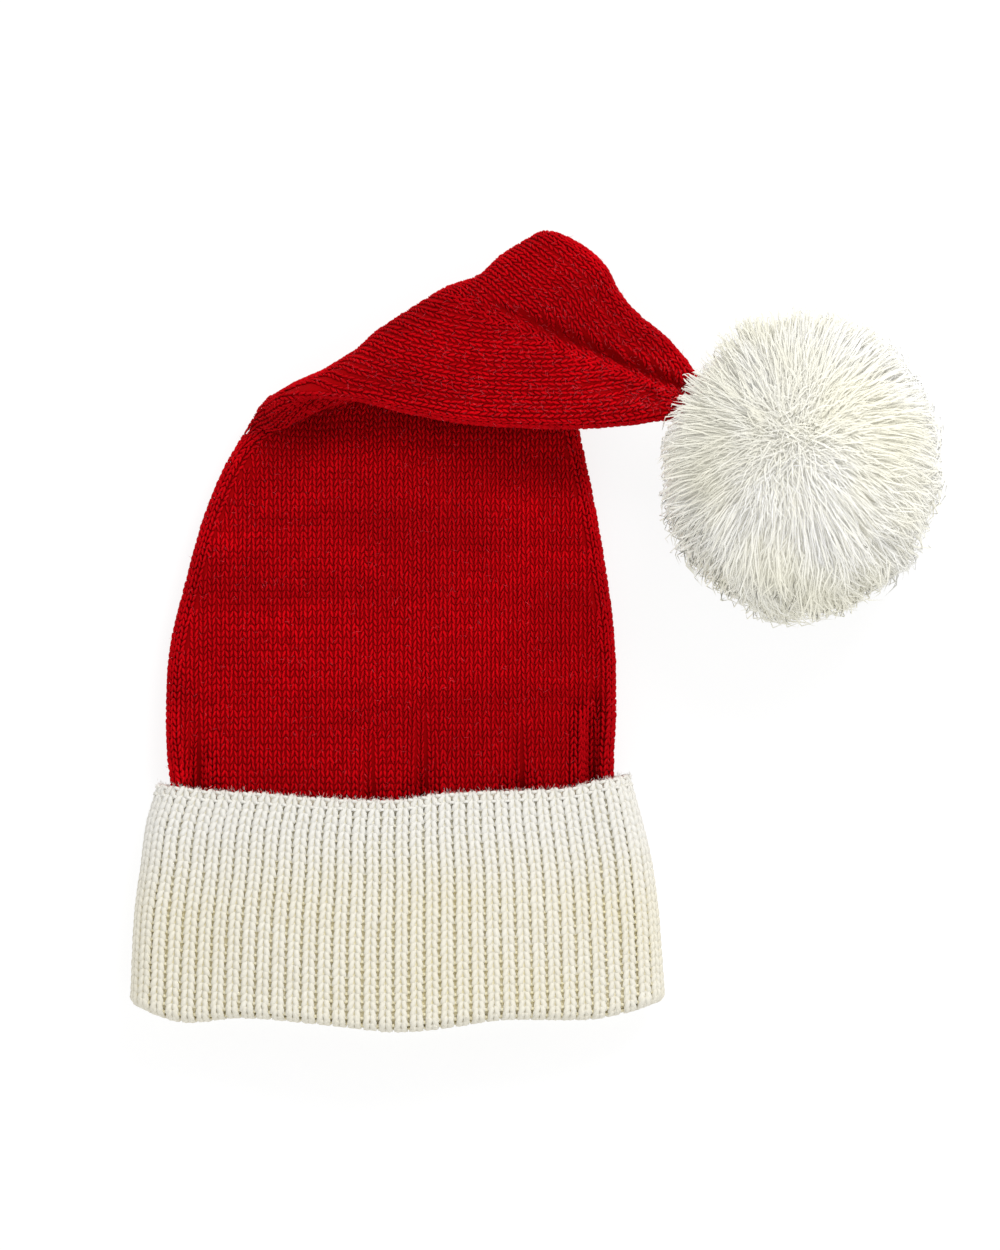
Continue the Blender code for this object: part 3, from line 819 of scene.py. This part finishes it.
def cuff_outline(fraction, points_per_rib):
    """Points between the cuff's two leaves, at equal steps round its outer face, with their
    outward directions and shares of the half width."""
    keys = [row.fraction for row in CUFF_ROWS]
    left, right, edge_z, front = (
        interpolate(keys, [getattr(row, column) for row in CUFF_ROWS], fraction)
        for column in ("left_x", "right_x", "edge_z", "front"))
    half_width = (right - left) / 2 - LEAF_SPREAD
    fine = flattened_tube(half_width, front - LEAF_SPREAD, CUFF_BACK - LEAF_SPREAD,
                          CUFF_ROLL - LEAF_SPREAD, 160, 32)
    fine = np.concatenate((fine, fine[:1]))
    way = unit(np.roll(fine, -1, axis=0) - np.roll(fine, 1, axis=0))
    face = fine + np.stack((-way[:, 1], way[:, 0]), axis=1) * LEAF_SPREAD
    face[-1] = face[0]
    lengths = np.concatenate(((0.0,), np.cumsum(np.linalg.norm(np.diff(face, axis=0), axis=1))))
    count = CUFF_RIBS * points_per_rib
    at = lengths[-1] * np.arange(count) / count
    places = np.stack([np.interp(at, lengths, fine[:, axis]) for axis in range(2)], axis=1)
    run = unit(np.roll(places, -1, axis=0) - np.roll(places, 1, axis=0))
    outward = np.stack((-run[:, 1], run[:, 0]), axis=1)
    return places + ((left + right) / 2, edge_z), outward, places[:, 0] / half_width


def cuff_cloth(points_per_rib, step):
    """The outer face of the turned-up rib, from the upper edge round the mouth to the hem."""
    outer = [(f, LEAF_SPREAD, LEAF_SPREAD * f) for f in np.linspace(0.0, 1.0, int(92 / step))[:-1]]
    fold = [(1.0, LEAF_SPREAD * math.cos(a), LEAF_SPREAD * (1 - math.sin(a)))
            for a in np.linspace(0.0, math.pi, int(13 / step) + 1)]
    inner = [(f, -LEAF_SPREAD, LEAF_SPREAD) for f in np.linspace(1.0, HEM_FRACTION, int(80 / step))[1:]]
    edge_keys = [edge.across for edge in CUFF_EDGES]
    rings = []
    for fraction, offset, towards in outer + fold + inner:
        places, outward, across = cuff_outline(fraction, points_per_rib)
        flat = places + outward * offset
        top = interpolate(edge_keys, [edge.top_y for edge in CUFF_EDGES], across)
        mouth = interpolate(edge_keys, [edge.mouth_y for edge in CUFF_EDGES], across)
        if offset > -LEAF_SPREAD or fraction == 1.0:
            y = top + (mouth - top) * fraction + towards
        else:
            share = (1.0 - fraction) / (1.0 - HEM_FRACTION)
            y = (mouth + LEAF_SPREAD) * (1 - share) + INNER_LEAF_TOP * share
        rings.append(np.stack((flat[:, 0], y, np.maximum(flat[:, 1], 0.0)), axis=1))
    points = np.array(rings)
    run = np.gradient(points, axis=0)
    around = np.roll(points, -1, axis=1) - np.roll(points, 1, axis=1)
    normals = unit(np.cross(run, around))
    parts = (len(outer), len(outer) + len(fold))
    return points, normals, parts


def build_cuff(rng, materials):
    per_rib = 8
    points, normals, parts = cuff_cloth(per_rib, 0.8)
    rings = np.arange(len(points)).astype(float)
    crests = []
    grooves = []
    for rib in range(CUFF_RIBS):
        for group, column, lift, start in ((crests, rib * per_rib + per_rib // 2, RIB_HEIGHT, 2.0),
                                           (grooves, rib * per_rib, -RIB_HEIGHT, 0.6)):
            line = points[:, column] + normals[:, column] * lift
            group.append(walk(line, normals[:, column], rings, RIB_COURSE, start))
    crests, grooves = joined(crests), joined(grooves)
    build_cuff_fuzz(points[0], rng, materials["white"])
    inside = crests.rings > parts[1]
    for name, chosen, template in (("cuff_stitches", ~inside, rib_stitch(4, 4)),
                                   ("cuff_inner_stitches", inside, rib_stitch(3, 3))):
        make_stitches(name, template, crests, chosen, RIB_STITCH_LIFT, 0.05, rng, 0.6,
                      materials["white"])
    bar = tube_template(((-1.5, 0.35, -0.5), (-0.6, -0.25, 0.0), (0.6, -0.25, 0.0), (1.5, 0.35, -0.5)),
                        (1.7, 1.7), (1.2, 1.2), 4)
    filled = smoothstep((EDGE_RINGS + 1.0 - grooves.rings) / 5.0)[:, None]
    grooves = grooves._replace(middles=grooves.middles + grooves.normals * filled * EDGE_FILL)
    closed = grooves.rings < EDGE_RINGS
    # Bars in the open grooves take the grooves' painted shade; those closed at the upper edge the white yarn
    for name, chosen, material in (("cuff_purl_bars", ~closed, "painted_groove_shade"),
                                   ("cuff_edge_bars", closed, "white")):
        make_stitches(name, bar, grooves, chosen, 0.0, 0.1, rng, 0.8, materials[material])
    build_cuff_ground(materials["painted_groove_shade"])


def build_cuff_fuzz(edge, rng, material):
    """Fibres that stand off the cuff's upper edge, over the red cloth."""
    chosen = rng.integers(0, len(edge), EDGE_HAIRS)
    away = edge - edge.mean(axis=0)
    away[:, 1] = 0.0
    way = unit(unit(away * (0.2, 0.0, 1.0)) * 0.5 + (0.0, 1.0, 0.0))[chosen]
    start = edge[chosen] - way * 0.6 + rng.normal(0.0, 0.6, (EDGE_HAIRS, 3))
    way = unit(way + rng.normal(0.0, 0.5, way.shape))
    make_hairs("cuff_fuzz", start, way, rng, (0.9, 2.6), material)


def build_cuff_ground(material):
    per_rib = 4
    points, normals, _ = cuff_cloth(per_rib, 4.0)
    phase = np.arange(points.shape[1]) % per_rib / per_rib
    relief = -RIB_HEIGHT * np.cos(2 * math.pi * phase)
    grids = []
    for depth, share in ((-1.0, 1.0), (-2.8, 0.3)):
        grid = points + normals * (depth + relief * share)[None, :, None]
        grid[..., 2] = np.maximum(grid[..., 2], 0.1 - depth * 0.4)
        grids.append(grid)
    made, faces, uv = shell(*grids)
    faces, uv = turned_over(faces, uv)
    # The cuff's ground below the ribs takes the grooves' painted shade
    make_piece("cuff_ground", made, faces, material, uv, replaced=("cuff",))


# The pompom: its strands and those round the whorl, the locks they gather in, the core's share of
# the ball, how far the strands' light is turned upward, and the sides where they reach further out

STRANDS = 11400
WHORL_STRANDS = 3000
LOCKS = 420
CORE_SHARE = 0.81
SOFT_LIGHT_LIFT = 1.1
FULLER_SIDES = (((-0.85, -0.55, 0.0), 0.09), ((-0.2, 1.0, 0.0), 0.06))


def even_directions(count):
    """Directions spread evenly over a ball."""
    index = np.arange(count) + 0.5
    polar = np.arccos(1 - 2 * index / count)
    turn = math.pi * (1 + math.sqrt(5)) * index
    return np.stack((np.cos(turn) * np.sin(polar), np.sin(turn) * np.sin(polar), np.cos(polar)), axis=1)


def strand_tubes(paths, widths, sides):
    """Tapering closed tubes along many paths at once. Paths are (strand, station, axis)."""
    count, stations = paths.shape[:2]
    runs = unit(np.gradient(paths, axis=1))
    reference = np.array((0.31, 0.52, 0.79))
    sideways = unit(np.cross(runs, reference))
    upward = np.cross(sideways, runs)
    angles = 2 * math.pi * np.arange(sides) / sides
    circle = (sideways[:, 1:-1, None] * np.cos(angles)[None, None, :, None]
              + upward[:, 1:-1, None] * np.sin(angles)[None, None, :, None])
    rings = paths[:, 1:-1, None] + circle * (widths / 2)[..., None, None]
    points = np.concatenate((paths[:, :1], rings.reshape(count, -1, 3), paths[:, -1:]), axis=1)
    template = tube_template(np.zeros((stations, 3)) + np.arange(stations)[:, None] * (0, 1, 0),
                             np.ones(stations), np.ones(stations), sides)
    faces = template.faces[None] + (np.arange(count) * points.shape[1])[:, None, None]
    return points.reshape(-1, 3), faces.reshape(-1, 3), tiled_uv(template, count), points.shape[1]


def build_pompom(rng, materials):
    """Strands that rise from the core and bend away from the whorl, gathered in locks."""
    pole = unit(np.array((*(WHORL - POMPOM_CENTRE[:2]) / POMPOM_RADII[:2], 0.97)))
    count = STRANDS + WHORL_STRANDS
    locks = unit(even_directions(LOCKS) + rng.normal(0.0, 0.06, (LOCKS, 3)))
    lock_reach = rng.uniform(0.95, 1.04, LOCKS)
    for way, more in FULLER_SIDES:
        lock_reach += more * np.maximum(locks @ unit(np.array(way)), 0.0) ** 2
    lock_splay = rng.uniform(0.55, 1.35, LOCKS)
    tangle = smoothstep((0.25 - locks[:, 1] + 0.35 * locks[:, 0]) / 0.9)[:, None]
    lock_lean = rng.normal(0.0, 1.0, (LOCKS, 3)) * (0.05 + 0.11 * tangle)
    lock_tone = rng.uniform(0.0, 0.45, LOCKS)
    roots = unit(np.concatenate((even_directions(STRANDS) + rng.normal(0.0, 0.03, (STRANDS, 3)),
                                 pole + rng.normal(0.0, 0.27, (WHORL_STRANDS, 3)))))
    lock = np.argmax(roots @ locks.T, axis=1)
    angle = np.arccos(np.clip(roots @ pole, -1.0, 1.0))
    away = unit(roots - pole * np.cos(angle)[:, None])
    splay = (np.radians(38.0) * smoothstep(angle / 0.7 + 0.05) * (1.0 - smoothstep((angle - 1.2) / 1.2))
             * lock_splay[lock] * rng.uniform(0.7, 1.2, count))

    def turned(share):
        bent = (angle + splay * share)[:, None]
        return pole * np.cos(bent) + away * np.sin(bent)

    free = smoothstep(angle / 0.5)[:, None]
    gather = rng.uniform(0.05, 0.40, count)[:, None] * free
    stray = rng.normal(0.0, 1.0, (count, 3)) * (0.07 + 0.22 * (1.0 - free))
    drawn = (locks[lock] - roots) * gather + lock_lean[lock] * free + stray
    reach = (lock_reach[lock] * rng.uniform(0.92, 1.03, count))[:, None]
    start = roots * 0.60
    bend = unit(turned(0.25) + drawn * 0.35) * (reach * 1.10)
    end = unit(turned(1.0) + drawn) * reach
    steps = np.linspace(0.0, 1.0, 5)[None, :, None]
    paths = (start[:, None] * (1 - steps) ** 2 + bend[:, None] * 2 * steps * (1 - steps)
             + end[:, None] * steps ** 2) * POMPOM_RADII + POMPOM_CENTRE
    wave = rng.normal(0.0, 1.0, paths.shape) * (0.30 + 0.80 * tangle[lock])[:, None]
    wave[:, 0] = 0.0
    paths += wave
    paths[..., 2] = np.maximum(paths[..., 2], 0.5)
    widths = rng.uniform(0.48, 0.90, (count, 1)) * np.array((1.0, 1.0, 0.75))[None]
    tone = np.clip(lock_tone[lock] + rng.uniform(0.0, 0.55, count), 0.0, 1.0)
    for part in range(2):
        chosen = np.arange(count) % 2 == part
        points, faces, uv, each = strand_tubes(paths[chosen], widths[chosen], 3)
        axes = np.repeat(paths[chosen].mean(axis=1), each, axis=0)
        normals = unit(unit(points - axes) * 0.15 + unit((points - POMPOM_CENTRE) / POMPOM_RADII)
                       + (0.0, 0.0, SOFT_LIGHT_LIFT))
        make_piece(f"pompom_yarn_{part + 1}", points, faces, materials["pompom"], uv,
                   np.repeat(tone[chosen], each), replaced=("pompom",) if part == 0 else (), normals=normals)
    build_pompom_core(materials["pompom_core"])


def build_pompom_core(material):
    """The ball below the strands: rings of points, with a fan of triangles at each end."""
    rings, columns = 40, 64
    polar = np.linspace(0.02, math.pi - 0.02, rings)[:, None]
    turn = np.linspace(0.0, 2 * math.pi, columns, endpoint=False)[None]
    ball = np.stack((np.sin(polar) * np.cos(turn), np.sin(polar) * np.sin(turn),
                     np.cos(polar) + 0 * turn), axis=-1)
    outer = ball * POMPOM_RADII * CORE_SHARE + POMPOM_CENTRE
    faces, uv = grid_faces(rings, columns, closed=True)
    points = [outer.reshape(-1, 3)]
    every_face = [faces]
    every_uv = [uv * 0.97]
    here = np.arange(columns)
    following = (here + 1) % columns
    for ring, pair in ((0, (following, here)), (rings - 1, (here, following))):
        end = np.full(columns, rings * columns + len(points) - 1)
        points.append(outer[ring].mean(axis=0)[None])
        every_face.append(np.stack((pair[0] + ring * columns, pair[1] + ring * columns, end), axis=1))
        every_uv.append(np.tile(((0.99, 0.99), (0.995, 0.99), (0.99, 0.995)), (columns, 1)))
    faces, uv = turned_over(np.concatenate(every_face), np.concatenate(every_uv))
    make_piece("pompom_core", np.concatenate(points), faces, material, uv)


# Fuzz

FRONT_SHOWS_TO = 235
BACK_SHOWS_FROM = 215


def make_hairs(name, start, way, rng, lengths, material, tones=(1.0, 1.0)):
    """A piece of short curled fibres, from each start along each way."""
    curl = unit(np.cross(way, rng.normal(0.0, 1.0, way.shape)))
    length = rng.uniform(*lengths, (len(start), 1))
    bow = rng.normal(0.0, 0.35, (len(start), 1)) * length
    steps = np.linspace(0.0, 1.0, 4)[None, :, None]
    paths = start[:, None] + (way * length)[:, None] * steps + (curl * bow)[:, None] * steps ** 2
    paths[..., 2] = np.maximum(paths[..., 2], 0.1)
    points, faces, uv, each = strand_tubes(paths, np.full((len(start), 2), HAIR_WIDTH), 3)
    tone = np.ones(len(start)) if tones[0] == tones[1] else rng.uniform(*tones, len(start))
    make_piece(name, points, faces, material, uv, np.repeat(tone, each))


def build_fuzz(rng, halves, materials):
    """Fine loose fibres that stand off the red cloth."""
    last = len(halves["back"].points)
    cloths = ((halves["front"], 0, min(FRONT_SHOWS_TO, last)),
              (halves["back"], BACK_SHOWS_FROM, last - 8))
    starts = []
    normals = []
    for cloth, low, high in cloths:
        ring = rng.integers(low, high, RED_HAIRS // 2)
        column = rng.integers(0, cloth.points.shape[1], RED_HAIRS // 2)
        starts.append(cloth.points[ring, column])
        normals.append(cloth.normals[ring, column])
    start = np.concatenate(starts)
    normal = np.concatenate(normals)
    lie = unit(np.cross(normal, rng.normal(0.0, 1.0, normal.shape)) + normal * 0.25)
    make_hairs("crown_fuzz", start - normal * 0.3, lie, rng, (1.2, 3.4), materials["fuzz"],
               (0.2, 1.0))


# Stage

CAMERA_HEIGHT = 6.0
VIEW_HEIGHT = 0.5
VIEW_CENTRE = (0.042, 0.010)
FOCUS_HEIGHT = 0.025
SKY_LIGHT = 0.74
Light = namedtuple("Light", "name place size power")
LIGHTS = (
    Light("key", (0.65, 1.25, 1.4), 0.8, 17.0),
    Light("fill", (0.3, -0.8, 1.9), 1.4, 4.0),
)
LIT_PLACE = (0.03, 0.02, 0.0)


def build_stage():
    scene = bpy.context.scene
    scene.view_settings.view_transform = "Standard"
    scene.cycles.diffuse_bounces = 8
    bpy.ops.mesh.primitive_plane_add(size=14.0, location=(0.0, 0.0, 0.0))
    floor = bpy.context.object
    floor.name = "floor"
    floor.data.materials.append(floor_material())

    camera_data = bpy.data.cameras.new("camera")
    camera_data.sensor_fit = "VERTICAL"
    camera_data.sensor_height = 24.0
    camera_data.lens = 24.0 * (CAMERA_HEIGHT - FOCUS_HEIGHT) / VIEW_HEIGHT
    camera_data.clip_end = 30.0
    camera = bpy.data.objects.new("camera", camera_data)
    camera.location = (*VIEW_CENTRE, CAMERA_HEIGHT)
    scene.collection.objects.link(camera)
    scene.camera = camera

    world = bpy.data.worlds.new("studio")
    world.use_nodes = True
    tree = world.node_tree
    sky = tree.nodes["Background"]
    sky.inputs["Color"].default_value = (1.0, 1.0, 1.0, 1.0)
    rays = tree.nodes.new("ShaderNodeLightPath")
    strength = remapped(tree, rays.outputs["Is Camera Ray"], 0.0, 1.0, SKY_LIGHT, 1.0)
    tree.links.new(strength, sky.inputs["Strength"])
    scene.world = world
    for light in LIGHTS:
        lamp = bpy.data.lights.new(light.name, "AREA")
        lamp.size = light.size
        lamp.energy = light.power
        holder = bpy.data.objects.new(light.name, lamp)
        holder.location = light.place
        way = np.array(LIT_PLACE) - np.array(light.place)
        yaw = math.atan2(way[1], way[0])
        tilt = math.atan2(math.hypot(way[0], way[1]), -way[2])
        holder.rotation_euler = (tilt, 0.0, yaw - math.pi / 2)
        scene.collection.objects.link(holder)


def build_materials():
    """The yarns: their dark and light colours, their tint in clouds and the scale of their fibres."""
    return {
        "red": yarn_material("red_yarn", (0.38, 0.0008, 0.0035), (0.82, 0.0022, 0.008),
                             (0.60, 0.0015, 0.006), 900.0, bands=(0.34, 0.0008, 0.0035)),
        # Painted shade: the ground between and below the stitches is coloured darker than they are
        "shaded_ground": yarn_material("red_ground_painted_shade", (0.24, 0.0003, 0.0015), (0.36, 0.0004, 0.002),
                                (0.30, 0.0003, 0.0015), 700.0),
        "fuzz": yarn_material("red_fuzz", (0.60, 0.03, 0.05), (0.85, 0.12, 0.15), (0.7, 0.05, 0.07), 900.0),
        "white": yarn_material("white_yarn", (0.78, 0.74, 0.62), (0.88, 0.85, 0.75), (0.85, 0.81, 0.68),
                               800.0, fade=(*WHITER_ABOVE, (0.86, 0.85, 0.82))),
        # Painted shade: the grooves between the ribs are coloured khaki, as the shade in them looks
        "painted_groove_shade": yarn_material("white_groove_painted_shade", (0.78, 0.71, 0.48), (0.88, 0.83, 0.64),
                                (0.84, 0.78, 0.54), 800.0, fade=(*WHITER_ABOVE, (0.82, 0.80, 0.72))),
        # The pompom's yarn and core shine with painted light that lifts their shade
        "pompom": yarn_material("pompom_yarn", (0.82, 0.80, 0.70), (0.88, 0.88, 0.88), (0.84, 0.82, 0.70),
                                700.0, painted_glow=POMPOM_PAINTED_GLOW),
        "pompom_core": yarn_material("pompom_core", (0.82, 0.80, 0.70), (0.88, 0.87, 0.80),
                                     (0.84, 0.81, 0.68), 500.0, painted_glow=POMPOM_PAINTED_GLOW),
    }


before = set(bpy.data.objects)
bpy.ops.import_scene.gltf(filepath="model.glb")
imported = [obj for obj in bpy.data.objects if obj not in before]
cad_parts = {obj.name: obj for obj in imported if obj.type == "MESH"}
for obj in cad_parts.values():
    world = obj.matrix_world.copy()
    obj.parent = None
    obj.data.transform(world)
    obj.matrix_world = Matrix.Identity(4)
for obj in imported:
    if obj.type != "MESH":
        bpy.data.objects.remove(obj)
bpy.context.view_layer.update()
build_stage()
rng = np.random.default_rng(SEED)
materials = build_materials()
halves = build_crown(rng, materials)
build_cuff(rng, materials)
build_pompom(rng, materials)
build_fuzz(rng, halves, materials)
